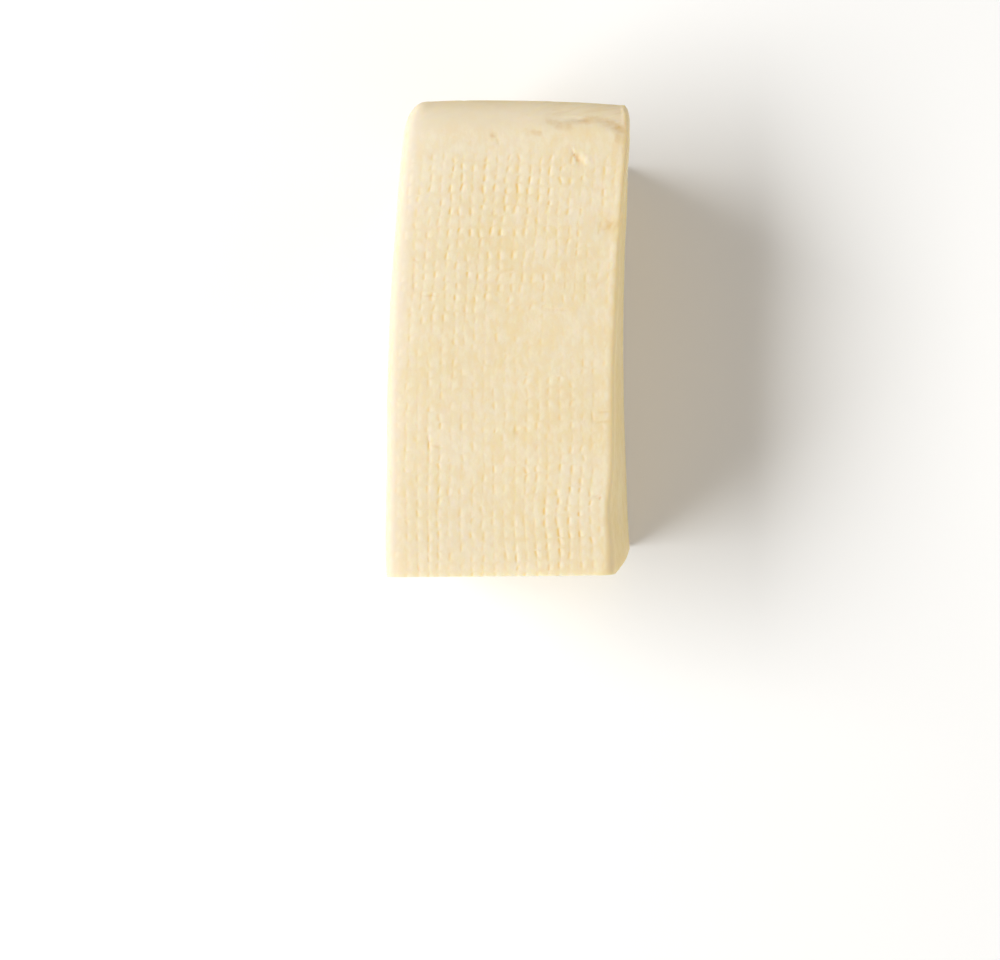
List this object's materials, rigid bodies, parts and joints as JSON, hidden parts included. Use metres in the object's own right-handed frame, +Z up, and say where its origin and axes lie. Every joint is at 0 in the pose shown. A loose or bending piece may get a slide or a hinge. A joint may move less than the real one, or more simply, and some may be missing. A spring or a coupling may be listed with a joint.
{
  "type": "cheddar cheese block",
  "caption": "Loaf-shaped block of pale cheddar with a cloth-marked skin, a soft rounded far end and a flat knife-cut end, resting on its flat base.",
  "frame": {"origin": "middle of the footprint, on the surface the block rests on", "axes": "+Z up; +Y along the block from the knife-cut end to the rounded pressed end; +X towards the wall that leans out at the foot"},
  "size_m": [0.0842, 0.1516, 0.0814],
  "materials": {
    "cheese": "pale yellow pressed cheese, smooth and slightly waxy, faintly translucent, with a cloth imprint in the skin"
  },
  "bodies": {
    "root": {"cheese_block": "cheese"}
  },
  "joints": []
}
